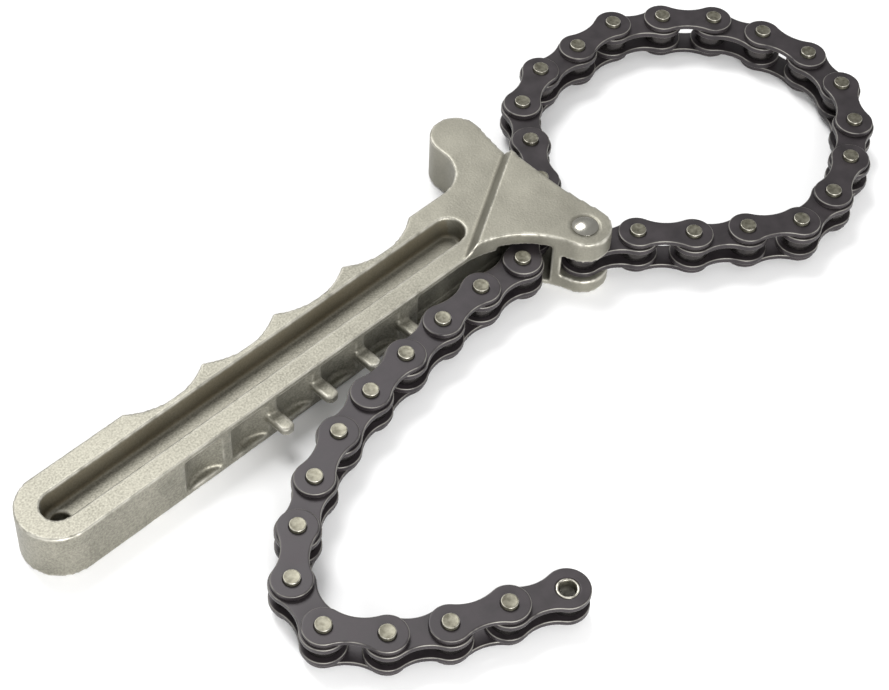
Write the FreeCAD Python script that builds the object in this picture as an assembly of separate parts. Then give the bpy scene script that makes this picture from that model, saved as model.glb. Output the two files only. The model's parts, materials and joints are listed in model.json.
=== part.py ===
"""Chain oil filter wrench: a die-cast handle with a length of roller chain riveted to its head.

The chain makes a loop for the filter, runs back through a passage in the head and ends in a free tail.
Millimetres, +Z up. The tool lies on the plane Z = 0, the handle runs along X, and the origin is on
the axis of the rivet that anchors the chain.
"""
import FreeCAD, Part

import math
import os

Vector = FreeCAD.Vector
Rotation = FreeCAD.Rotation
Placement = FreeCAD.Placement
UP = Vector(0, 0, 1)

# ---------------------------------------------------------------- roller chain, 1/2 x 1/8 inch
PITCH = 12.7
INNER_GAP = 3.3
PLATE_THICKNESS = 1.4
OUTER_PLATE_THICKNESS = 1.25
PLATE_CLEARANCE = 0.1
INNER_END_RADIUS = 4.95
INNER_WAIST = 3.4
OUTER_END_RADIUS = 4.45
OUTER_WAIST = 3.0
PIN_RADIUS = 1.8
PIN_LENGTH = 10.5
PIN_CHAMFER = 0.25
BUSH_BORE_RADIUS = 1.88
BUSH_RADIUS = 2.5
ROLLER_BORE_RADIUS = 2.56
ROLLER_RADIUS = 3.875
ROLLER_SIDE_CLEARANCE = 0.05

# Height of the chain's middle plane where it leaves the head, and how the two ends of the chain
# sink from there to the surface that the tool lies on: the slopes are rise over run.
CHAIN_HEIGHT = 7.0
LOOP_SLOPE = 0.0191
LOOP_FALL = (1.0, 0.0)
TAIL_SLOPE = 0.0183
TAIL_FALL = (-0.407, -0.913)

# Directions of the links in degrees from +X, from the anchor round the loop. The missing numbers
# follow from the others, because the loop flexes as pairs of opposite links and one ring of five.
HEADING_0 = -31.0
HEADING_1 = -44.0
HEADING_2 = -34.0
HEADING_3 = -33.0
HEADING_4 = 4.0
HEADING_5 = 21.0
HEADING_6 = 35.0
HEADING_7 = 53.0
HEADING_8 = 79.0
HEADING_9 = 101.0
HEADING_10 = 114.0
HEADING_13 = 180.0
HEADING_15 = 204.0
PASSAGE_HEADING = 215.0
TAIL_HEADINGS = (178, 184, 187, 190, 195, 204, 212, 222.5, 257, 309, 328, 338, 337)
FIRST_TAIL_LINK = 20

# ---------------------------------------------------------------- handle casting
BAR_THICKNESS = 12.8
HEAD_THICKNESS = 16.0
BAR_NEAR = 13.0
BAR_WIDTH = 18.0
BAR_END_X = -132.2
LOBE_RADIUS = 6.1
NECK_RADIUS = 21.5
SEAT_RADIUS = 100.0
SEAT_CENTRE_Y = 18.0
EAR_RADIUS = 6.2
EAR_CENTRE_Y = 42.1
ARMPIT_RADIUS = 9.0
RAMP_POINT = (-10.0, 20.5)
RAMP_HEADING = 30.3
RAMP_WIDTH = 2.0
BEYOND = 300.0

GRIP_RADIUS = 17.5
GRIP_FLOOR_Y = 27.1
GRIP_PITCH = 20.3
GRIP_FIRST_X = -36.0
GRIP_COUNT = 4
CREST_FILLET = 1.3

POCKET_Y = 21.8
POCKET_HALF_WIDTH = 3.8
POCKET_DEPTH = 5.6
POCKET_DRAFT = 0.35
POCKET_RIGHT_X = -21.4
HANG_HOLE_RADIUS = 2.2

SIDE_FLANGE = 1.5
SCALLOP_RADIUS = 7.1
SCALLOP_FLOOR_Y = 15.3
SCALLOP_COUNT = 5
TOOTH_COUNT = 4
LAST_TOOTH_X = -44.0
TOOTH_WIDTH = 3.4
TOOTH_TIP_Y = 7.1
TOOTH_LOW = 5.6
TOOTH_HIGH = 7.6
EXIT_RECESS_LEFT_X = -41.2
EXIT_RECESS_CORNER = 3.0
EXIT_RECESS_RIGHT_X = -8.0

PASSAGE_HALF_WIDTH = 6.0
PASSAGE_LOW = 1.3
PASSAGE_HIGH = 12.6
PASSAGE_REACH = 30.0
POST_THICKNESS = 2.4
FORK_HALF_GAP = 3.25
FORK_CLEARANCE_RADIUS = 5.6

RIVET_SHANK_RADIUS = 1.8
RIVET_FIT = 0.02
RIVET_HEAD_RADIUS = 3.0
RIVET_HEAD_HEIGHT = 1.1
RIVET_SINK_RADIUS = 3.4
RIVET_SINK_TOP = 0.35
RIVET_SINK_BOTTOM = RIVET_HEAD_HEIGHT


def unit(degrees):
    """Unit vector in the XY plane at an angle from +X."""
    angle = math.radians(degrees)
    return Vector(math.cos(angle), math.sin(angle), 0)


def disc(centre_x, centre_y, radius, low, high):
    """Upright cylinder between two heights."""
    return Part.makeCylinder(radius, high - low, Vector(centre_x, centre_y, low))


def prism(points, low, high):
    """Upright prism over a closed polygon of (x, y) points."""
    corners = [Vector(x, y, low) for x, y in points]
    wire = Part.makePolygon(corners + corners[:1])
    return Part.Face(wire).extrude(Vector(0, 0, high - low))


def arc(start, middle, end):
    """Circular edge through three points."""
    return Part.Arc(start, middle, end).toShape()


def arc_about(centre, radius, start_degrees, end_degrees):
    """Circular edge about a centre, from one direction to another."""
    stops = (start_degrees, 0.5 * (start_degrees + end_degrees), end_degrees)
    points = [centre + unit(stop) * radius for stop in stops]
    return arc(points[0], points[1], points[2])


def direction(vector):
    """Direction of a vector in degrees from +X."""
    return math.degrees(math.atan2(vector.y, vector.x))


# ---------------------------------------------------------------- where every link lies
def plane_rotation(slope, fall):
    """Rotation from the level plane to one that sinks at a slope along a direction."""
    normal = Vector(slope * fall[0], slope * fall[1], 1)
    return Rotation(UP, normal)


def chain_headings():
    """Directions of all the links, in order from the anchor.

    Links 11, 12 and 16 run opposite to links 1, 0 and 7. Links 3, 5, 9, 14 and 17 add up to
    nothing, so the directions of 14 and 17 follow from the other three.
    """
    rest = unit(HEADING_3) + unit(HEADING_5) + unit(HEADING_9)
    middle = direction(rest * -1.0) % 360
    spread = math.degrees(math.acos(0.5 * rest.Length))
    front = [HEADING_0, HEADING_1, HEADING_2, HEADING_3, HEADING_4, HEADING_5, HEADING_6]
    top = [HEADING_7, HEADING_8, HEADING_9, HEADING_10, HEADING_1 + 180, HEADING_0 + 180]
    back = [HEADING_13, middle - spread, HEADING_15, HEADING_7 + 180, middle + spread]
    return front + top + back + [PASSAGE_HEADING, PASSAGE_HEADING] + list(TAIL_HEADINGS)


def chain_layout():
    """Placement of each link, with its first pin at the local origin and its length along X.

    The loop lies in one sloping plane and the tail in another. The links from 18 to 20 turn from
    one to the other in three equal steps.
    """
    loop_plane = plane_rotation(LOOP_SLOPE, LOOP_FALL)
    tail_plane = plane_rotation(TAIL_SLOPE, TAIL_FALL)
    pin = Vector(0, 0, CHAIN_HEIGHT)
    placements = []
    for number, heading in enumerate(chain_headings()):
        share = min(max((number - 17) / 3.0, 0.0), 1.0)
        plane = loop_plane.slerp(tail_plane, share)
        turn = plane.multiply(Rotation(UP, heading))
        placements.append(Placement(pin, turn))
        pin = pin + turn.multVec(Vector(PITCH, 0, 0))
    return placements


# ---------------------------------------------------------------- chain pieces
def link_plate(end_radius, waist, low, high, hole_radius):
    """Flat figure-eight plate: two round ends joined by two hollow arcs, with a hole at each end."""
    half = 0.5 * PITCH
    hollow = (half ** 2 + waist ** 2 - end_radius ** 2) / (2 * (end_radius - waist))
    touch = end_radius / (end_radius + hollow)
    x = half - half * touch
    y = (waist + hollow) * touch
    edges = [
        arc(Vector(x, y, 0), Vector(0, waist, 0), Vector(-x, y, 0)),
        arc(Vector(-x, y, 0), Vector(-half - end_radius, 0, 0), Vector(-x, -y, 0)),
        arc(Vector(-x, -y, 0), Vector(0, -waist, 0), Vector(x, -y, 0)),
        arc(Vector(x, -y, 0), Vector(half + end_radius, 0, 0), Vector(x, y, 0)),
    ]
    plate = Part.Face(Part.Wire(edges)).extrude(Vector(0, 0, high - low))
    plate.translate(Vector(half, 0, low))
    for centre_x in (0, PITCH):
        plate = plate.cut(disc(centre_x, 0, hole_radius, low - 1, high + 1))
    return plate


def ring(centre_x, bore, radius, half_length):
    """Tube about an upright axis, centred on the chain's middle plane."""
    tube = disc(centre_x, 0, radius, -half_length, half_length)
    return tube.cut(disc(centre_x, 0, bore, -half_length - 1, half_length + 1))


def inner_link():
    """Two inner plates pressed on two bushes, each bush with a roller round it."""
    inside = 0.5 * INNER_GAP
    outside = inside + PLATE_THICKNESS
    solids = []
    for low, high in ((inside, outside), (-outside, -inside)):
        solids.append(link_plate(INNER_END_RADIUS, INNER_WAIST, low, high, BUSH_RADIUS))
    for centre_x in (0, PITCH):
        solids.append(ring(centre_x, BUSH_BORE_RADIUS, BUSH_RADIUS, outside))
        solids.append(ring(centre_x, ROLLER_BORE_RADIUS, ROLLER_RADIUS, inside - ROLLER_SIDE_CLEARANCE))
    return solids


def outer_plates():
    """The two outer plates of a link, which stand just clear of the inner plates."""
    inside = 0.5 * INNER_GAP + PLATE_THICKNESS + PLATE_CLEARANCE
    outside = inside + OUTER_PLATE_THICKNESS
    solids = []
    for low, high in ((inside, outside), (-outside, -inside)):
        solids.append(link_plate(OUTER_END_RADIUS, OUTER_WAIST, low, high, PIN_RADIUS))
    return solids


def link_pins():
    """The two pins of an outer link, chamfered at both ends and proud of its plates."""
    solids = []
    for centre_x in (0, PITCH):
        pin = disc(centre_x, 0, PIN_RADIUS, -0.5 * PIN_LENGTH, 0.5 * PIN_LENGTH)
        rims = [edge for edge in pin.Edges if len(edge.Vertexes) == 1]
        solids.append(pin.makeChamfer(PIN_CHAMFER, rims))
    return solids


def placed(solids, placement):
    """The solids as one compound, moved to where their link lies."""
    group = Part.makeCompound(solids)
    group.Placement = placement
    return group


# ---------------------------------------------------------------- handle casting
def handle_outline():
    """Plan of the whole casting: round bar end, concave neck, rivet lobe, filter seat and ear."""
    bar_end = Vector(BAR_END_X, BAR_NEAR + 0.5 * BAR_WIDTH, 0)
    bar_far = BAR_NEAR + BAR_WIDTH
    neck_reach = NECK_RADIUS + LOBE_RADIUS
    neck = Vector(-math.sqrt(neck_reach ** 2 - (BAR_NEAR - NECK_RADIUS) ** 2), BAR_NEAR - NECK_RADIUS, 0)
    seat_reach = SEAT_RADIUS + LOBE_RADIUS
    seat = Vector(math.sqrt(seat_reach ** 2 - SEAT_CENTRE_Y ** 2), SEAT_CENTRE_Y, 0)
    ear_reach = SEAT_RADIUS + EAR_RADIUS
    ear_rise = EAR_CENTRE_Y - SEAT_CENTRE_Y
    ear = Vector(seat.x - math.sqrt(ear_reach ** 2 - ear_rise ** 2), EAR_CENTRE_Y, 0)
    armpit = Vector(ear.x - EAR_RADIUS - ARMPIT_RADIUS, bar_far + ARMPIT_RADIUS, 0)
    to_seat = direction(seat)
    ear_to_seat = direction(seat - ear)
    neck_to_lobe = direction(neck * -1.0)
    edges = [
        Part.makeLine(bar_end + Vector(0, -0.5 * BAR_WIDTH, 0), neck + Vector(0, NECK_RADIUS, 0)),
        arc_about(neck, NECK_RADIUS, 90, neck_to_lobe),
        arc_about(Vector(0, 0, 0), LOBE_RADIUS, neck_to_lobe + 180, to_seat + 360),
        arc_about(seat, SEAT_RADIUS, to_seat + 180, ear_to_seat + 180),
        arc_about(ear, EAR_RADIUS, ear_to_seat, 180),
        Part.makeLine(ear + Vector(-EAR_RADIUS, 0, 0), armpit + Vector(ARMPIT_RADIUS, 0, 0)),
        arc_about(armpit, ARMPIT_RADIUS, 0, -90),
        Part.makeLine(armpit + Vector(0, -ARMPIT_RADIUS, 0), bar_end + Vector(0, 0.5 * BAR_WIDTH, 0)),
        arc_about(bar_end, 0.5 * BAR_WIDTH, 90, 270),
    ]
    return Part.Face(Part.Wire(Part.__sortEdges__(edges)))


def upright_edges(shape, points, reach):
    """Upright straight edges of a shape that pass within reach of one of the (x, y) points."""
    found = []
    for edge in shape.Edges:
        ends = [vertex.Point for vertex in edge.Vertexes]
        if len(ends) != 2:
            continue
        across = Vector(ends[1].x - ends[0].x, ends[1].y - ends[0].y, 0).Length
        rise = abs(ends[1].z - ends[0].z)
        near = [math.hypot(ends[0].x - x, ends[0].y - y) < reach for x, y in points]
        if across < 0.01 and rise > 5 and any(near):
            found.append(edge)
    return found


def cut_grip(body):
    """Finger scallops along the far side, with their crests rounded."""
    centre_y = GRIP_FLOOR_Y + GRIP_RADIUS
    centres = [GRIP_FIRST_X - GRIP_PITCH * number for number in range(GRIP_COUNT)]
    for centre_x in centres:
        body = body.cut(disc(centre_x, centre_y, GRIP_RADIUS, -1, HEAD_THICKNESS + 1))
    crest_y = centre_y - math.sqrt(GRIP_RADIUS ** 2 - (0.5 * GRIP_PITCH) ** 2)
    bar_far = BAR_NEAR + BAR_WIDTH
    half_mouth = math.sqrt(GRIP_RADIUS ** 2 - (centre_y - bar_far) ** 2)
    crests = [(centre_x - 0.5 * GRIP_PITCH, crest_y) for centre_x in centres[:-1]]
    corners = [(centres[0] + half_mouth, bar_far), (centres[-1] - half_mouth, bar_far)]
    return body.makeFillet(CREST_FILLET, upright_edges(body, crests + corners, 0.1))


def above_bar():
    """Everything over the bar and the ear, as far as the ramp that climbs to the thicker head."""
    along = unit(RAMP_HEADING)
    across = unit(RAMP_HEADING + 90)
    base = Vector(RAMP_POINT[0], RAMP_POINT[1], 0) - along * (0.5 * BEYOND)
    rise = HEAD_THICKNESS - BAR_THICKNESS
    section = [
        (0.5 * RAMP_WIDTH, BAR_THICKNESS),
        (BEYOND, BAR_THICKNESS),
        (BEYOND, HEAD_THICKNESS + rise),
        (-1.5 * RAMP_WIDTH, HEAD_THICKNESS + rise),
    ]
    corners = [base + across * u + UP * z for u, z in section]
    wire = Part.makePolygon(corners + corners[:1])
    return Part.Face(wire).extrude(along * BEYOND)


def stadium(half_width, height):
    """Closed wire of the pocket's plan: a slot with round ends."""
    left = Vector(BAR_END_X, POCKET_Y, height)
    right = Vector(POCKET_RIGHT_X, POCKET_Y, height)
    side = Vector(0, half_width, 0)
    edges = [
        Part.makeLine(left - side, right - side),
        arc(right - side, right + Vector(half_width, 0, 0), right + side),
        Part.makeLine(right + side, left + side),
        arc(left + side, left - Vector(half_width, 0, 0), left - side),
    ]
    return Part.Wire(edges)


def pocket():
    """Long pocket in the top of the bar, drawn in a little towards its floor, and the hanging hole."""
    floor = BAR_THICKNESS - POCKET_DEPTH
    slope = POCKET_DRAFT / POCKET_DEPTH
    rim = stadium(POCKET_HALF_WIDTH + slope, BAR_THICKNESS + 1)
    foot = stadium(POCKET_HALF_WIDTH - POCKET_DRAFT, floor)
    hollow = Part.makeLoft([foot, rim], True, True)
    return hollow.fuse(disc(BAR_END_X, POCKET_Y, HANG_HOLE_RADIUS, -1, floor + 1))


def side_recess():
    """Scallops between the near side's two flanges, and the deeper recess where the chain comes out."""
    low = SIDE_FLANGE
    high = BAR_THICKNESS - SIDE_FLANGE
    first_x = LAST_TOOTH_X - 0.5 * PITCH
    left_x = EXIT_RECESS_LEFT_X + EXIT_RECESS_CORNER
    right_x = EXIT_RECESS_RIGHT_X
    plan = [(left_x, 0), (right_x, 0), (right_x, SCALLOP_FLOOR_Y), (left_x, SCALLOP_FLOOR_Y)]
    recess = prism(plan, low, high)
    recess = recess.fuse(disc(EXIT_RECESS_LEFT_X + SCALLOP_RADIUS, SCALLOP_FLOOR_Y - SCALLOP_RADIUS,
                              SCALLOP_RADIUS, low, high))
    for number in range(SCALLOP_COUNT):
        centre_x = first_x - PITCH * number
        recess = recess.fuse(disc(centre_x, SCALLOP_FLOOR_Y - SCALLOP_RADIUS, SCALLOP_RADIUS, low, high))
    return recess


def tooth(centre_x):
    """Flat round-ended tooth that stands between the side plates of the chain."""
    half = 0.5 * TOOTH_WIDTH
    root_y = SCALLOP_FLOOR_Y + 1.0
    tip_y = TOOTH_TIP_Y + half
    plan = [(centre_x - half, tip_y), (centre_x + half, tip_y), (centre_x + half, root_y),
            (centre_x - half, root_y)]
    blade = prism(plan, TOOTH_LOW, TOOTH_HIGH)
    return blade.fuse(disc(centre_x, tip_y, half, TOOTH_LOW, TOOTH_HIGH))


def along_passage(offset_low, offset_high, low, high):
    """Box beside the passage's centre line, between two offsets towards the rivet."""
    middle = PASSAGE_MIDDLE
    along = unit(PASSAGE_HEADING + 180)
    side = unit(PASSAGE_HEADING + 90)
    reach = PASSAGE_REACH
    stations = ((-reach, offset_low), (reach, offset_low), (reach, offset_high), (-reach, offset_high))
    corners = [middle + along * run + side * offset for run, offset in stations]
    return prism([(corner.x, corner.y) for corner in corners], low, high)


def fork_slot():
    """Slot for the first link: round the rivet, and open from the post to the edge of the lobe."""
    low = CHAIN_HEIGHT - FORK_HALF_GAP
    high = CHAIN_HEIGHT + FORK_HALF_GAP
    outer_face = PASSAGE_HALF_WIDTH + POST_THICKNESS
    slot = along_passage(outer_face, outer_face + PASSAGE_REACH, low, high)
    return slot.fuse(disc(0, 0, FORK_CLEARANCE_RADIUS, low, high))


def rivet_holes():
    """Hole for the rivet through both lobes, with a shallow sink for each of its heads."""
    hole = disc(0, 0, RIVET_SHANK_RADIUS + RIVET_FIT, -1, HEAD_THICKNESS + 1)
    top = disc(0, 0, RIVET_SINK_RADIUS, HEAD_THICKNESS - RIVET_SINK_TOP, HEAD_THICKNESS + 1)
    return hole.fuse(top).fuse(disc(0, 0, RIVET_SINK_RADIUS, -1, RIVET_SINK_BOTTOM))


def handle_casting():
    """The whole casting in one solid."""
    body = handle_outline().extrude(Vector(0, 0, HEAD_THICKNESS))
    body = cut_grip(body)
    body = body.cut(above_bar())
    body = body.cut(pocket())
    body = body.cut(side_recess())
    for number in range(TOOTH_COUNT):
        body = body.fuse(tooth(LAST_TOOTH_X - PITCH * number))
    body = body.cut(along_passage(-PASSAGE_HALF_WIDTH, PASSAGE_HALF_WIDTH, PASSAGE_LOW, PASSAGE_HIGH))
    body = body.cut(fork_slot())
    body = body.cut(rivet_holes())
    return body


def anchor_rivet():
    """Rivet through the two lobes and the first link: a domed head above and a flat one below."""
    seat_low = RIVET_SINK_BOTTOM
    seat_high = HEAD_THICKNESS - RIVET_SINK_TOP
    shank = disc(0, 0, RIVET_SHANK_RADIUS, seat_low, seat_high)
    foot = disc(0, 0, RIVET_HEAD_RADIUS, seat_low - RIVET_HEAD_HEIGHT, seat_low)
    sphere_radius = (RIVET_HEAD_RADIUS ** 2 + RIVET_HEAD_HEIGHT ** 2) / (2 * RIVET_HEAD_HEIGHT)
    ball = Part.makeSphere(sphere_radius, Vector(0, 0, seat_high + RIVET_HEAD_HEIGHT - sphere_radius))
    dome = ball.common(disc(0, 0, RIVET_HEAD_RADIUS + 1, seat_high, seat_high + RIVET_HEAD_HEIGHT + 1))
    return shank.fuse(foot).fuse(dome).removeSplitter()


LAYOUT = chain_layout()
PASSAGE_PIN = LAYOUT[FIRST_TAIL_LINK - 1].Base
PASSAGE_MIDDLE = Vector(PASSAGE_PIN.x, PASSAGE_PIN.y, 0)


def main():
    """Write one STEP file for each piece."""
    os.makedirs("parts", exist_ok=True)
    handle_casting().exportStep("parts/handle_casting.step")
    anchor_rivet().exportStep("parts/anchor_rivet.step")
    for number, placement in enumerate(LAYOUT):
        if number % 2 == 0:
            placed(inner_link(), placement).exportStep(f"parts/inner_link_{number:02d}.step")
        else:
            placed(outer_plates(), placement).exportStep(f"parts/outer_plates_{number:02d}.step")
            placed(link_pins(), placement).exportStep(f"parts/link_pins_{number:02d}.step")


main()
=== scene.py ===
"""Chain oil filter wrench: a die-cast handle, its anchor rivet and a length of dark roller chain."""

import math

import bmesh
import bpy
import json
import numpy as np
from mathutils import Matrix, Vector


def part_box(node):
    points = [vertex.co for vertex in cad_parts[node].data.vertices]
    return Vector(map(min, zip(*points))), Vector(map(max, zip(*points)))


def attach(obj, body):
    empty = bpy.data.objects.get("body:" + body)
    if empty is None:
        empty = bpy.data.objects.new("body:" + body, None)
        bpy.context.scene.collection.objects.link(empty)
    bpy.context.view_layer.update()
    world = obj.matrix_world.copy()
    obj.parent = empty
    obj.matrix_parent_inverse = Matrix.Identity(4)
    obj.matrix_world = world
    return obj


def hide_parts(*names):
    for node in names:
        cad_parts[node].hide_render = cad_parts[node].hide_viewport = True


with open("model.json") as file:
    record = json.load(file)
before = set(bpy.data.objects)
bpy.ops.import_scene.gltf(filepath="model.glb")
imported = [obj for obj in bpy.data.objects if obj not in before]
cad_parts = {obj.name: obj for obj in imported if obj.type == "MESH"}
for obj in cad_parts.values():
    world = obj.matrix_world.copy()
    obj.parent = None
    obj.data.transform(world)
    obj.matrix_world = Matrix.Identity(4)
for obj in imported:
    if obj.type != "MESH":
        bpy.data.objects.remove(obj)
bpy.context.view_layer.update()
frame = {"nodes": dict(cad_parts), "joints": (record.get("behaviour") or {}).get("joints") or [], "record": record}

# ---------------------------------------------------------------- floor, light and camera
# A sweep of matt white board, lit by a bright overcast sky and two wide soft boxes, seen from
# above the end of the handle.
MM = 0.001
scene = bpy.context.scene
scene.view_settings.view_transform = "Standard"


def new_material(name, colour, metallic, roughness):
    """A Principled material with its plain values set on the shader's own sockets."""
    material = bpy.data.materials.new(name)
    material.use_nodes = True
    shader = material.node_tree.nodes["Principled BSDF"]
    shader.inputs["Base Color"].default_value = (*colour, 1.0)
    shader.inputs["Metallic"].default_value = metallic
    shader.inputs["Roughness"].default_value = roughness
    return material, shader


def soft_box(name, place, aim, width, power):
    """A square area light at a place, facing an aim point, both in metres."""
    light = bpy.data.lights.new(name, "AREA")
    light.size = width
    light.energy = power
    lamp = bpy.data.objects.new(name, light)
    lamp.location = place
    lamp.rotation_euler = (Vector(aim) - Vector(place)).to_track_quat("-Z", "Y").to_euler()
    scene.collection.objects.link(lamp)
    return lamp


FLOOR_SIZE = 6.0
FLOOR_DROP = 0.0002
floor_mesh = bpy.data.meshes.new("floor")
half_floor = 0.5 * FLOOR_SIZE
floor_corners = [(-half_floor, -half_floor, -FLOOR_DROP), (half_floor, -half_floor, -FLOOR_DROP),
                 (half_floor, half_floor, -FLOOR_DROP), (-half_floor, half_floor, -FLOOR_DROP)]
floor_mesh.from_pydata(floor_corners, [], [(0, 1, 2, 3)])
floor = bpy.data.objects.new("floor", floor_mesh)
scene.collection.objects.link(floor)
floor_board, floor_shader = new_material("white_board", (0.93, 0.93, 0.93), 0.0, 0.9)
floor_shader.inputs["Specular IOR Level"].default_value = 0.1
floor_mesh.materials.append(floor_board)

SKY_STRENGTH = 0.6
world = bpy.data.worlds.new("overcast")
world.use_nodes = True
world.node_tree.nodes["Background"].inputs["Color"].default_value = (1.0, 1.0, 1.0, 1.0)
world.node_tree.nodes["Background"].inputs["Strength"].default_value = SKY_STRENGTH
scene.world = world

BENCH_MIDDLE = (-0.02, 0.0, 0.0)
soft_box("key_box", (0.11, 0.50, 0.86), BENCH_MIDDLE, 0.45, 8.0)
soft_box("front_box", (-0.50, -0.85, 0.32), BENCH_MIDDLE, 0.6, 17.0)

CAMERA_PLACE = (-0.2788, -0.2233, 0.3951)
VIEW_HEADING = math.radians(43.55)
VIEW_DROP = 0.871
VIEW_ROLL = 0.0452
LENS_MM = 94.09
SENSOR_MM = 36.0
level_right = Vector((math.sin(VIEW_HEADING), -math.cos(VIEW_HEADING), 0.0))
forward = Vector((math.cos(VIEW_HEADING) * math.cos(VIEW_DROP), math.sin(VIEW_HEADING) * math.cos(VIEW_DROP),
                  -math.sin(VIEW_DROP)))
level_up = level_right.cross(forward)
camera_right = level_right * math.cos(VIEW_ROLL) + level_up * math.sin(VIEW_ROLL)
camera_up = level_up * math.cos(VIEW_ROLL) - level_right * math.sin(VIEW_ROLL)
camera = bpy.data.objects.new("camera", bpy.data.cameras.new("camera"))
camera.data.lens = LENS_MM
camera.data.sensor_width = SENSOR_MM
camera.data.clip_start = 0.01
camera.data.clip_end = 20.0
camera.matrix_world = (Matrix.Translation(CAMERA_PLACE)
                       @ Matrix((camera_right, camera_up, -forward)).transposed().to_4x4())
scene.collection.objects.link(camera)
scene.camera = camera


# ---------------------------------------------------------------- handle casting
# The handle is one die casting in grey aluminium alloy: bar, head, ear and chain teeth together.
# Its skin is sandy along the bar and smoother on the head, its edges are softly rounded and worn
# bright, and its pocket walls and concave creases carry painted shade, tinted brown like grime.
VOXEL = 0.41 * MM
SMOOTHING_PASSES = 2
WAVE_SIZE = 6.0 * MM
WAVE_DEPTH = 0.03 * MM
NICK_SIZE = 0.9 * MM
NICK_DEPTH = 0.09 * MM
NICK_SHARE = 0.66
SHARP_CREST = 0.05 * MM
WEAR_PATCH = 1.5 * MM
GRIME_AND_SHADE_PATCH = 3.0 * MM
POCKET_REACH = 6.5 * MM
WALL_TOP = 12.3 * MM
GRIT_START = -18.0 * MM
GRIT_LENGTH = 22.0 * MM
HEAD_GRIT = 0.3


def coordinates(mesh):
    """All vertex positions of a mesh as rows of an array."""
    flat = np.zeros(len(mesh.vertices) * 3)
    mesh.vertices.foreach_get("co", flat)
    return flat.reshape(-1, 3)


def lumps(points, size, seed):
    """Smooth random field from 0 to 1: random values on a cubic lattice of a given size, blended
    between the eight corners round each point with weights 3t^2 - 2t^3."""
    side = 64
    lattice = np.random.default_rng(seed).random((side, side, side))
    scaled = points / size
    cell = np.floor(scaled).astype(int)
    part = scaled - cell
    weight = part * part * (3.0 - 2.0 * part)
    total = np.zeros(len(points))
    for corner in range(8):
        step = np.array([corner & 1, corner >> 1 & 1, corner >> 2 & 1])
        index = (cell + step) % side
        share = np.prod(np.where(step == 1, weight, 1.0 - weight), axis=1)
        total += share * lattice[index[:, 0], index[:, 1], index[:, 2]]
    return total


def neighbours(mesh):
    """Every edge of a mesh twice, once from each end, as rows of (vertex, neighbour)."""
    edges = np.zeros(len(mesh.edges) * 2, dtype=np.int64)
    mesh.edges.foreach_get("vertices", edges)
    pairs = edges.reshape(-1, 2)
    return np.concatenate([pairs, pairs[:, ::-1]])


def curvature(mesh, points, normals):
    """How far each vertex stands out of the middle of its neighbours, along its normal."""
    ends = neighbours(mesh)
    count = np.bincount(ends[:, 0], minlength=len(points))
    totals = [np.bincount(ends[:, 0], points[ends[:, 1], axis], len(points)) for axis in range(3)]
    middles = np.stack(totals, 1) / count[:, None]
    return np.sum((points - middles) * normals, axis=1)


def spread(mesh, values, passes):
    """Averages a value with the mean of its neighbours, half and half, a number of times."""
    ends = neighbours(mesh)
    count = np.bincount(ends[:, 0], minlength=len(values))
    for _ in range(passes):
        values = 0.5 * values + 0.5 * np.bincount(ends[:, 0], values[ends[:, 1]], len(values)) / count
    return values


def vertex_normals(mesh):
    """Unit normals of all vertices as rows of an array."""
    flat = np.zeros(len(mesh.vertices) * 3)
    mesh.vertex_normals.foreach_get("vector", flat)
    return flat.reshape(-1, 3)


def set_attribute(mesh, name, values):
    """Stores one number for each vertex, for the material to read."""
    attribute = mesh.attributes.new(name, "FLOAT", "POINT")
    attribute.data.foreach_set("value", np.asarray(values, dtype=np.float32))


def evaluated_copy(name, source, modifiers):
    """A new mesh: the source with its doubles merged and a list of (type, settings) applied."""
    work = bpy.data.objects.new(name + "_work", source.copy())
    scene.collection.objects.link(work)
    weld = work.modifiers.new("weld", "WELD")
    weld.merge_threshold = 1e-6
    for kind, settings in modifiers:
        modifier = work.modifiers.new(kind, kind)
        for key, value in settings.items():
            setattr(modifier, key, value)
    graph = bpy.context.evaluated_depsgraph_get()
    mesh = bpy.data.meshes.new_from_object(work.evaluated_get(graph))
    mesh.name = name
    bpy.data.objects.remove(work)
    return mesh


def add_piece(name, mesh, body, material, replaced=()):
    """Links a finished mesh as a smooth-shaded piece that rides on a body."""
    mesh.polygons.foreach_set("use_smooth", np.ones(len(mesh.polygons), dtype=bool))
    mesh.materials.clear()
    mesh.materials.append(material)
    piece = bpy.data.objects.new(name, mesh)
    scene.collection.objects.link(piece)
    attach(piece, body)
    if replaced:
        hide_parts(*replaced)
    return piece


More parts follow.
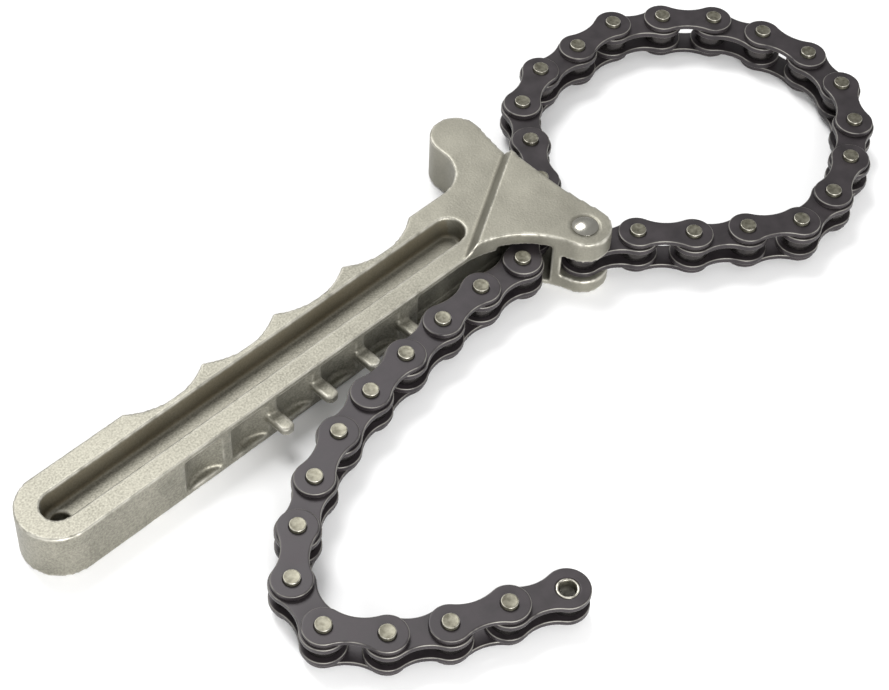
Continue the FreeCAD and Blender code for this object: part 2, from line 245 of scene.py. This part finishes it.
def cast_material():
    """Grey alloy: a speckle like fine sand, scaled by the grit attribute, over broad patches. It
    turns brighter on worn edges, and darker and browner on the pocket walls and creases, as painted shade tinted
    like grime."""
    material, shader = new_material("cast_alloy", (0.23, 0.22, 0.18), 0.65, 0.45)
    nodes = material.node_tree.nodes
    links = material.node_tree.links
    place = nodes.new("ShaderNodeTexCoord")
    speckle = nodes.new("ShaderNodeTexNoise")
    speckle.inputs["Scale"].default_value = 2200.0
    speckle.inputs["Detail"].default_value = 3.0
    patches = nodes.new("ShaderNodeTexNoise")
    patches.inputs["Scale"].default_value = 90.0
    patches.inputs["Detail"].default_value = 4.0
    links.new(place.outputs["Object"], speckle.inputs["Vector"])
    links.new(place.outputs["Object"], patches.inputs["Vector"])

    tone = nodes.new("ShaderNodeValToRGB")
    tone.color_ramp.elements[0].position = 0.3
    tone.color_ramp.elements[0].color = (0.115, 0.110, 0.087, 1.0)
    tone.color_ramp.elements[1].position = 0.72
    tone.color_ramp.elements[1].color = (0.310, 0.298, 0.247, 1.0)
    grit = nodes.new("ShaderNodeAttribute")
    grit.attribute_name = "grit"
    centred = nodes.new("ShaderNodeMath")
    centred.operation = "SUBTRACT"
    centred.inputs[1].default_value = 0.5
    sandy = nodes.new("ShaderNodeMath")
    sandy.operation = "MULTIPLY"
    middle = nodes.new("ShaderNodeMath")
    middle.operation = "MULTIPLY_ADD"
    middle.inputs[1].default_value = 0.4
    middle.inputs[2].default_value = 0.3
    mixed = nodes.new("ShaderNodeMath")
    mixed.operation = "MULTIPLY_ADD"
    mixed.inputs[1].default_value = 0.6
    links.new(speckle.outputs["Fac"], centred.inputs[0])
    links.new(centred.outputs[0], sandy.inputs[0])
    links.new(grit.outputs["Fac"], sandy.inputs[1])
    links.new(patches.outputs["Fac"], middle.inputs[0])
    links.new(sandy.outputs[0], mixed.inputs[0])
    links.new(middle.outputs[0], mixed.inputs[2])
    links.new(mixed.outputs[0], tone.inputs["Fac"])

    wear = nodes.new("ShaderNodeAttribute")
    wear.attribute_name = "wear"
    grime_and_shade = nodes.new("ShaderNodeAttribute")
    grime_and_shade.attribute_name = "grime_and_shade"
    bright = nodes.new("ShaderNodeMix")
    bright.data_type = "RGBA"
    bright.inputs["B"].default_value = (0.62, 0.60, 0.53, 1.0)
    links.new(wear.outputs["Fac"], bright.inputs["Factor"])
    links.new(tone.outputs["Color"], bright.inputs["A"])
    # Painted shade: a dark brown is mixed in by the grime_and_shade attribute on the pocket walls and concave
    # creases, standing in for the shade of the recess, tinted like grime.
    grime_and_shade_mix = nodes.new("ShaderNodeMix")
    grime_and_shade_mix.data_type = "RGBA"
    grime_and_shade_mix.inputs["B"].default_value = (0.190, 0.158, 0.098, 1.0)
    links.new(grime_and_shade.outputs["Fac"], grime_and_shade_mix.inputs["Factor"])
    links.new(bright.outputs["Result"], grime_and_shade_mix.inputs["A"])
    links.new(grime_and_shade_mix.outputs["Result"], shader.inputs["Base Color"])

    rough = nodes.new("ShaderNodeMapRange")
    rough.inputs["To Min"].default_value = 0.38
    rough.inputs["To Max"].default_value = 0.54
    links.new(patches.outputs["Fac"], rough.inputs["Value"])
    links.new(rough.outputs["Result"], shader.inputs["Roughness"])
    grain = nodes.new("ShaderNodeBump")
    grain.inputs["Strength"].default_value = 0.38
    grain.inputs["Distance"].default_value = 0.00012
    links.new(speckle.outputs["Fac"], grain.inputs["Height"])
    links.new(grain.outputs["Normal"], shader.inputs["Normal"])
    return material


casting = evaluated_copy("handle_casting_skin", frame["nodes"]["handle_casting"].data, [
    ("REMESH", {"mode": "VOXEL", "voxel_size": VOXEL, "use_smooth_shade": True}),
    ("SMOOTH", {"factor": 0.5, "iterations": SMOOTHING_PASSES}),
])
skin = coordinates(casting)
skin_normals = vertex_normals(casting)
crest = curvature(casting, skin, skin_normals)
edge = np.clip(spread(casting, crest, 1) / SHARP_CREST, -1.0, 1.0)
nicks = np.clip((lumps(skin, NICK_SIZE, 3) - NICK_SHARE) / (1.0 - NICK_SHARE), 0.0, 1.0)
waves = lumps(skin, WAVE_SIZE, 1) * 0.6 + lumps(skin, 0.3 * WAVE_SIZE, 2) * 0.4
sunk = WAVE_DEPTH * waves + NICK_DEPTH * nicks * np.clip(edge, 0.0, 1.0)
skin = skin - skin_normals * sunk[:, None]
casting.vertices.foreach_set("co", skin.ravel())
casting.update()

# Painted shade, tinted brown like grime, lies on the pocket's walls, which face its middle line, and in concave
# creases. Wear lies on the sharp edges.
pocket_box = frame["record"]["physics"]["openings"][0]["box_m"]
pocket_low, pocket_high = [np.array(corner) for corner in pocket_box]
middle_y = 0.5 * (pocket_low[1] + pocket_high[1])
half_width = 0.5 * (pocket_high[1] - pocket_low[1])
nearest_x = np.clip(skin[:, 0], pocket_low[0] + half_width, pocket_high[0] - half_width)
inward = np.stack([nearest_x - skin[:, 0], middle_y - skin[:, 1]], 1)
reach = np.linalg.norm(inward, axis=1)
facing = np.sum(inward * skin_normals[:, :2], axis=1) / np.maximum(reach, 1e-9)
in_pocket = (reach < POCKET_REACH) & (skin[:, 2] < WALL_TOP)
pocket_wall_shade = np.where(in_pocket, np.clip(1.4 * facing - 0.2, 0.0, 1.0), 0.0) * 0.65
# Painted shade in concave creases, where the skin dips below the middle of its neighbours.
corners = np.clip(-edge, 0.0, 1.0) * 0.15
worn_edges = np.clip(1.4 * edge - 0.3, 0.0, 1.0) * lumps(skin, WEAR_PATCH, 5)
along_bar = np.clip((GRIT_START - skin[:, 0]) / GRIT_LENGTH, 0.0, 1.0)
settled_grime_and_shade = np.clip(spread(casting, pocket_wall_shade, 1) + corners, 0.0, 1.0)
set_attribute(casting, "wear", worn_edges)
set_attribute(casting, "grit", HEAD_GRIT + (1.0 - HEAD_GRIT) * along_bar)
set_attribute(casting, "grime_and_shade", settled_grime_and_shade * (0.7 + 0.3 * lumps(skin, GRIME_AND_SHADE_PATCH, 6)))
add_piece("handle", casting, "handle", cast_material(), ["handle_casting"])


# ---------------------------------------------------------------- anchor rivet
# A steel rivet through both lobes of the head. Its flat head lies flush in the underside, and the
# other end is struck into a low polished dome that stands in a shallow sink.
RIVET_STEPS = 64
RIVET_SHANK = 1.8 * MM
RIVET_HEIGHT = 1.1 * MM
RIVET_EDGE = 0.12 * MM
DOME_HEIGHT = 0.85 * MM
DOME_STEPS = 18
MERGE_GAP = 1e-7


def lathe(profile, steps):
    """Surface of revolution: each (radius, height) of the profile turned round Z in equal steps.

    Point (i, j) is (r_i cos a_j, r_i sin a_j, z_i) with a_j = 2 pi j / steps. A profile that
    starts and ends on the axis makes a closed body, and one whose ends meet makes a ring.
    """
    rows = np.asarray(profile, dtype=float)
    angle = np.arange(steps) * (2.0 * math.pi / steps)
    x = rows[:, 0][:, None] * np.cos(angle)
    y = rows[:, 0][:, None] * np.sin(angle)
    z = np.repeat(rows[:, 1][:, None], steps, axis=1)
    return np.stack([x, y, z], axis=2)


def grid_faces(rows, columns, wrap_rows):
    """Quads of a grid that closes on itself along its columns, and along its rows if asked."""
    last = rows if wrap_rows else rows - 1
    i, j = np.meshgrid(np.arange(last), np.arange(columns), indexing="ij")
    below = (i + 1) % rows
    beside = (j + 1) % columns
    quads = [i * columns + j, i * columns + beside, below * columns + beside, below * columns + j]
    return np.stack([corner.ravel() for corner in quads], axis=1)


def merged_mesh(name, points, faces, wear=None):
    """A mesh from rows of points and faces. Its doubles are merged, points without a face are
    dropped, and its faces are turned outwards."""
    mesh = bpy.data.meshes.new(name)
    mesh.from_pydata(points.reshape(-1, 3).tolist(), [], faces.tolist())
    if wear is not None:
        set_attribute(mesh, "wear", wear)
    shape = bmesh.new()
    shape.from_mesh(mesh)
    bmesh.ops.remove_doubles(shape, verts=shape.verts, dist=MERGE_GAP)
    bmesh.ops.dissolve_degenerate(shape, edges=shape.edges, dist=MERGE_GAP)
    loose = [vertex for vertex in shape.verts if not vertex.link_faces]
    bmesh.ops.delete(shape, geom=loose, context="VERTS")
    bmesh.ops.recalc_face_normals(shape, faces=shape.faces)
    shape.to_mesh(mesh)
    shape.free()
    return mesh


def transformed(points, origin, along, up):
    """Points moved from a link's own axes (x along it, z through its plates) to the shared frame."""
    side = np.cross(up, along)
    return points @ np.stack([along, side, up]) + origin


def steel_material(name, dark, light, metallic, roughness, patch_scale, worn):
    """Dark or bare steel: two tones in soft patches, a worn rim, and a fine grain."""
    material, shader = new_material(name, light, metallic, roughness)
    nodes = material.node_tree.nodes
    links = material.node_tree.links
    place = nodes.new("ShaderNodeTexCoord")
    patches = nodes.new("ShaderNodeTexNoise")
    patches.inputs["Scale"].default_value = patch_scale
    patches.inputs["Detail"].default_value = 5.0
    links.new(place.outputs["Object"], patches.inputs["Vector"])
    tone = nodes.new("ShaderNodeValToRGB")
    tone.color_ramp.elements[0].position = 0.32
    tone.color_ramp.elements[0].color = (*dark, 1.0)
    tone.color_ramp.elements[1].position = 0.68
    tone.color_ramp.elements[1].color = (*light, 1.0)
    links.new(patches.outputs["Fac"], tone.inputs["Fac"])
    wear = nodes.new("ShaderNodeAttribute")
    wear.attribute_name = "wear"
    rubbed = nodes.new("ShaderNodeMath")
    rubbed.operation = "MULTIPLY"
    links.new(wear.outputs["Fac"], rubbed.inputs[0])
    scuffs = nodes.new("ShaderNodeMapRange")
    scuffs.inputs["From Min"].default_value = 0.3
    scuffs.inputs["From Max"].default_value = 0.55
    links.new(patches.outputs["Fac"], scuffs.inputs["Value"])
    links.new(scuffs.outputs["Result"], rubbed.inputs[1])
    rim = nodes.new("ShaderNodeMix")
    rim.data_type = "RGBA"
    rim.inputs["B"].default_value = (*worn, 1.0)
    links.new(rubbed.outputs[0], rim.inputs["Factor"])
    links.new(tone.outputs["Color"], rim.inputs["A"])
    links.new(rim.outputs["Result"], shader.inputs["Base Color"])
    gloss = nodes.new("ShaderNodeMapRange")
    gloss.inputs["To Min"].default_value = max(roughness - 0.09, 0.05)
    gloss.inputs["To Max"].default_value = roughness + 0.09
    links.new(patches.outputs["Fac"], gloss.inputs["Value"])
    links.new(gloss.outputs["Result"], shader.inputs["Roughness"])
    grain = nodes.new("ShaderNodeTexNoise")
    grain.inputs["Scale"].default_value = 5200.0
    grain.inputs["Detail"].default_value = 2.0
    links.new(place.outputs["Object"], grain.inputs["Vector"])
    bump = nodes.new("ShaderNodeBump")
    bump.inputs["Strength"].default_value = 0.12
    bump.inputs["Distance"].default_value = 0.00002
    links.new(grain.outputs["Fac"], bump.inputs["Height"])
    links.new(bump.outputs["Normal"], shader.inputs["Normal"])
    return material


rivet_low, rivet_high = [np.array(corner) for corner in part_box("anchor_rivet")]
rivet_radius = 0.5 * (rivet_high[0] - rivet_low[0])
dome_foot = rivet_high[2] - RIVET_HEIGHT
foot_top = rivet_low[2] + RIVET_HEIGHT

# The dome is a cap of a sphere: its rise at radius r is sqrt(R^2 - r^2) less the depth of its centre.
cap_radius = (rivet_radius ** 2 + DOME_HEIGHT ** 2) / (2.0 * DOME_HEIGHT)
dome_reach = rivet_radius * np.cos(np.linspace(0.0, 0.5 * math.pi, DOME_STEPS))
dome_reach[-1] = 0.0
centre_height = rivet_high[2] - cap_radius
dome = np.stack([dome_reach, centre_height + np.sqrt(cap_radius ** 2 - dome_reach ** 2)], 1)
foot = np.array([(0.0, rivet_low[2]),
                 (rivet_radius - RIVET_EDGE, rivet_low[2]),
                 (rivet_radius, rivet_low[2] + RIVET_EDGE),
                 (rivet_radius, foot_top),
                 (RIVET_SHANK, foot_top),
                 (RIVET_SHANK, dome_foot),
                 (rivet_radius, dome_foot)])
rivet_profile = np.concatenate([foot, dome])
rivet_points = lathe(rivet_profile, RIVET_STEPS)
rivet_faces = grid_faces(len(rivet_profile), RIVET_STEPS, False)
unworn = np.zeros(len(rivet_profile) * RIVET_STEPS)
rivet_mesh = merged_mesh("anchor_rivet_turned", rivet_points, rivet_faces, unworn)
polished = steel_material("polished_steel", (0.30, 0.29, 0.255), (0.42, 0.41, 0.365), 1.0, 0.24, 260.0,
                          (0.8, 0.8, 0.76))
add_piece("rivet", rivet_mesh, "handle", polished, ["anchor_rivet"])


# ---------------------------------------------------------------- inner links
# An inner link is two blued plates pressed on two hardened bushes, with a loose roller on each
# bush. The plates are stamped from strip as two round ends with hollow sides between, and
# tumbling leaves their edges soft.
INNER_GAP = 3.3 * MM
INNER_THICKNESS = 1.4 * MM
INNER_END = 4.95 * MM
INNER_WAIST = 3.4 * MM
BUSH_BORE = 1.88 * MM
BUSH_RADIUS = 2.5 * MM
BUSH_EDGE = 0.16 * MM
ROLLER_BORE = 2.56 * MM
ROLLER_RADIUS = 3.875 * MM
ROLLER_HALF = 0.5 * INNER_GAP - 0.05 * MM
ROLLER_EDGE = 0.35 * MM
PITCH = 12.7 * MM
RIM = 0.22 * MM
RIM_STEPS = 4
END_STEPS = 30
HOLLOW_STEPS = 9
SEAM_STEPS = 9
TURNED_STEPS = 48

# Each link runs from its own pivot to the next, and the last one to its empty bush.
joints = {joint["name"]: joint for joint in frame["joints"]}
LINKS = len(joints)
mounts = {mount["name"]: mount for mount in frame["record"]["mounts"]}
pivots = np.array([joints[f"pivot_{number:02d}"]["pos_m"] for number in range(LINKS)]
                  + [mounts["chain_end_bush"]["pos_m"]])
axes = np.array([joints[f"pivot_{number:02d}"]["axis"] for number in range(LINKS)]
                + [mounts["chain_end_bush"]["axis"]])
axes = axes * np.sign(axes[:, 2])[:, None]


def link_axes(number):
    """Origin, direction and upright of a link. Its upright is the mean of its two pivots' axes,
    squared to its direction."""
    along = (pivots[number + 1] - pivots[number]) / np.linalg.norm(pivots[number + 1] - pivots[number])
    up = axes[number] + axes[number + 1]
    up = up - along * np.dot(up, along)
    return pivots[number], along, up / np.linalg.norm(up)


def half_outline(end_radius, waist):
    """Half a plate's free edge about its hole, from one side of the middle line round to the other.

    The hollow side is an arc about (half pitch, waist + r) whose radius r makes it touch the round
    end. Returns the points and the outward normals of the edge.
    """
    half = 0.5 * PITCH
    hollow = (half ** 2 + waist ** 2 - end_radius ** 2) / (2.0 * (end_radius - waist))
    tilt = math.atan2(waist + hollow, half)
    side = np.linspace(-0.5 * math.pi, tilt - math.pi, HOLLOW_STEPS)[:-1]
    hollow_points = np.stack([half + hollow * np.cos(side), waist + hollow + hollow * np.sin(side)], 1)
    hollow_normals = -np.stack([np.cos(side), np.sin(side)], 1)
    end = np.linspace(tilt, 2.0 * math.pi - tilt, END_STEPS)
    end_normals = np.stack([np.cos(end), np.sin(end)], 1)
    flip = np.array([1.0, -1.0])
    points = np.concatenate([hollow_points, end_radius * end_normals, hollow_points[::-1] * flip])
    normals = np.concatenate([hollow_normals, end_normals, hollow_normals[::-1] * flip])
    return points, normals


def half_plate(end_radius, waist, hole, low, high):
    """Half a plate as a closed grid: columns go round the hole, rows go round the section.

    A section climbs the hole's wall, crosses the top to the rim, rolls over it by quarter circles
    and comes back underneath. The seam columns along the middle line have no rim.
    """
    edge, normal = half_outline(end_radius, waist)
    start = edge[0] - RIM * normal[0]
    seam_y = np.linspace(-start[1], start[1], SEAM_STEPS)[1:-1]
    seam = np.stack([np.full(len(seam_y), start[0]), seam_y], 1)
    outer = np.concatenate([edge, seam])
    inward = np.concatenate([normal, np.zeros_like(seam)])
    top_edge = outer - RIM * inward
    bearing = np.arctan2(top_edge[:, 1], top_edge[:, 0])
    ray = np.stack([np.cos(bearing), np.sin(bearing)], 1)
    mouth = (hole + 0.6 * RIM) * ray
    flat_start = (hole + 1.3 * RIM) * ray
    rows = [(hole * ray, low + 0.6 * RIM), (hole * ray, high - 0.6 * RIM), (mouth, high), (flat_start, high),
            (0.5 * (mouth + top_edge), high), (top_edge - RIM * inward, high)]
    turn = np.linspace(0.0, 0.5 * math.pi, RIM_STEPS)
    for angle in turn:
        rows.append((outer - RIM * (1.0 - math.sin(angle)) * inward, high - RIM * (1.0 - math.cos(angle))))
    for angle in turn[::-1]:
        rows.append((outer - RIM * (1.0 - math.sin(angle)) * inward, low + RIM * (1.0 - math.cos(angle))))
    rows += [(top_edge - RIM * inward, low), (0.5 * (mouth + top_edge), low), (flat_start, low), (mouth, low)]
    points = np.stack([np.concatenate([flat, np.full((len(flat), 1), height)], 1) for flat, height in rows])
    wear = np.zeros(points.shape[:2])
    first_rim = 6
    last_rim = first_rim - 1 + 2 * RIM_STEPS
    wear[first_rim + 1:first_rim + RIM_STEPS - 1, :len(edge)] = 1.0
    wear[last_rim - RIM_STEPS + 2:last_rim, :len(edge)] = 1.0
    faces = grid_faces(points.shape[0], points.shape[1], True)
    row = faces[:, 0] // points.shape[1]
    column = faces[:, 0] % points.shape[1]
    in_rim = (row >= first_rim - 1) & (row <= last_rim)
    on_seam = column >= len(edge) - 1
    return points.reshape(-1, 3), faces[~(in_rim & on_seam)], wear.ravel()


def plate(end_radius, waist, hole, low, high):
    """A whole plate: one half about the near hole and its mirror image about the far one."""
    points, faces, wear = half_plate(end_radius, waist, hole, low, high)
    mirrored = points * np.array([-1.0, 1.0, 1.0]) + np.array([PITCH, 0.0, 0.0])
    return (np.concatenate([points, mirrored]), np.concatenate([faces, faces[:, ::-1] + len(points)]),
            np.concatenate([wear, wear]))


def joined(parts):
    """Several (points, faces, wear) shapes as one."""
    offsets = np.cumsum([0] + [len(part[0]) for part in parts[:-1]])
    points = np.concatenate([part[0] for part in parts])
    faces = np.concatenate([part[1] + offset for part, offset in zip(parts, offsets)])
    return points, faces, np.concatenate([part[2] for part in parts])


def turned_ring(x, profile, steps, wear_rows):
    """A turned shape about the upright line at x, with its worn rows marked."""
    points = lathe(profile, steps) + np.array([x, 0.0, 0.0])
    wear = np.zeros(points.shape[:2])
    wear[wear_rows] = 1.0
    closed = profile[0][0] > 0.0
    return points.reshape(-1, 3), grid_faces(len(profile), steps, closed), wear.ravel()


inner_face = 0.5 * INNER_GAP
inner_back = inner_face + INNER_THICKNESS

blued = steel_material("blued_steel", (0.021, 0.0175, 0.019), (0.033, 0.0275, 0.030), 0.3, 0.42, 260.0,
                       (0.20, 0.192, 0.172))
blued.node_tree.nodes["Principled BSDF"].inputs["Specular IOR Level"].default_value = 0.35
bare = steel_material("bare_pin_steel", (0.075, 0.070, 0.050), (0.165, 0.157, 0.122), 0.7, 0.36, 1100.0,
                      (0.50, 0.48, 0.42))
hardened = steel_material("hardened_roller_steel", (0.030, 0.027, 0.027), (0.060, 0.054, 0.052), 0.85, 0.22,
                          420.0, (0.40, 0.37, 0.34))

bush_profile = [(BUSH_BORE, inner_back - BUSH_EDGE), (BUSH_BORE + BUSH_EDGE, inner_back),
                (BUSH_RADIUS - BUSH_EDGE, inner_back), (BUSH_RADIUS, inner_back - BUSH_EDGE),
                (BUSH_RADIUS, BUSH_EDGE - inner_back), (BUSH_RADIUS - BUSH_EDGE, -inner_back),
                (BUSH_BORE + BUSH_EDGE, -inner_back), (BUSH_BORE, BUSH_EDGE - inner_back)]
roller_curve = np.linspace(0.0, 0.5 * math.pi, 5)
roller_top = [(ROLLER_BORE, ROLLER_HALF)]
roller_top += [(ROLLER_RADIUS - ROLLER_EDGE * (1.0 - math.sin(angle)),
                ROLLER_HALF - ROLLER_EDGE * (1.0 - math.cos(angle))) for angle in roller_curve]
roller_profile = roller_top + [(radius, -height) for radius, height in reversed(roller_top)]

inner_plates = joined([plate(INNER_END, INNER_WAIST, BUSH_RADIUS, inner_face, inner_back),
                       plate(INNER_END, INNER_WAIST, BUSH_RADIUS, -inner_back, -inner_face)])
bushes = joined([turned_ring(x, bush_profile, TURNED_STEPS, [1, 2, 5, 6]) for x in (0.0, PITCH)])
rollers = joined([turned_ring(x, roller_profile, TURNED_STEPS, [1, 2, 9, 10]) for x in (0.0, PITCH)])


def add_link_piece(name, shape, number, material, replaced=()):
    """Places a link's shape along its link and lets it ride on that link's body."""
    origin, along, up = link_axes(number)
    points, faces, wear = shape
    mesh = merged_mesh(name, transformed(points, origin, along, up), faces, wear)
    return add_piece(name, mesh, f"link_{number:02d}", material, replaced)


for number in range(0, LINKS, 2):
    add_link_piece(f"inner_plates_{number:02d}_blued", inner_plates, number, blued,
                   [f"inner_link_{number:02d}"])
    add_link_piece(f"bushes_{number:02d}", bushes, number, bare)
    add_link_piece(f"rollers_{number:02d}", rollers, number, hardened)


# ---------------------------------------------------------------- outer links
# An outer link is two blued plates, shaped like the inner ones, pressed on two bare steel pins.
# The pins' ends stand a little proud of the plates and are spun flat.
OUTER_THICKNESS = 1.25 * MM
OUTER_END = 4.45 * MM
OUTER_WAIST = 3.0 * MM
PLATE_CLEARANCE = 0.1 * MM
PIN_RADIUS = 1.8 * MM
PIN_HALF = 5.25 * MM
PIN_EDGE = 0.15 * MM
PIN_DISH = 0.05 * MM
PIN_HOLLOW = 0.5 * PIN_RADIUS
PIN_FLAT = 0.84 * PIN_RADIUS
outer_face = inner_back + PLATE_CLEARANCE
outer_back = outer_face + OUTER_THICKNESS
pin_curve = np.linspace(0.0, 0.5 * math.pi, 4)
pin_end = [(0.0, PIN_HALF - PIN_DISH),
           (PIN_HOLLOW, PIN_HALF - 0.9 * PIN_DISH),
           (PIN_FLAT, PIN_HALF - 0.2 * PIN_DISH)]
pin_end += [(PIN_RADIUS - PIN_EDGE * (1.0 - math.sin(angle)), PIN_HALF - PIN_EDGE * (1.0 - math.cos(angle)))
            for angle in pin_curve]
pin_profile = pin_end + [(radius, -height) for radius, height in reversed(pin_end)]
outer_plates = joined([plate(OUTER_END, OUTER_WAIST, PIN_RADIUS, outer_face, outer_back),
                       plate(OUTER_END, OUTER_WAIST, PIN_RADIUS, -outer_back, -outer_face)])
pins = joined([turned_ring(x, pin_profile, TURNED_STEPS, [4, 5, 8, 9]) for x in (0.0, PITCH)])

for number in range(1, LINKS, 2):
    add_link_piece(f"outer_plates_{number:02d}_blued", outer_plates, number, blued,
                   [f"outer_plates_{number:02d}"])
    add_link_piece(f"pins_{number:02d}", pins, number, bare, [f"link_pins_{number:02d}"])
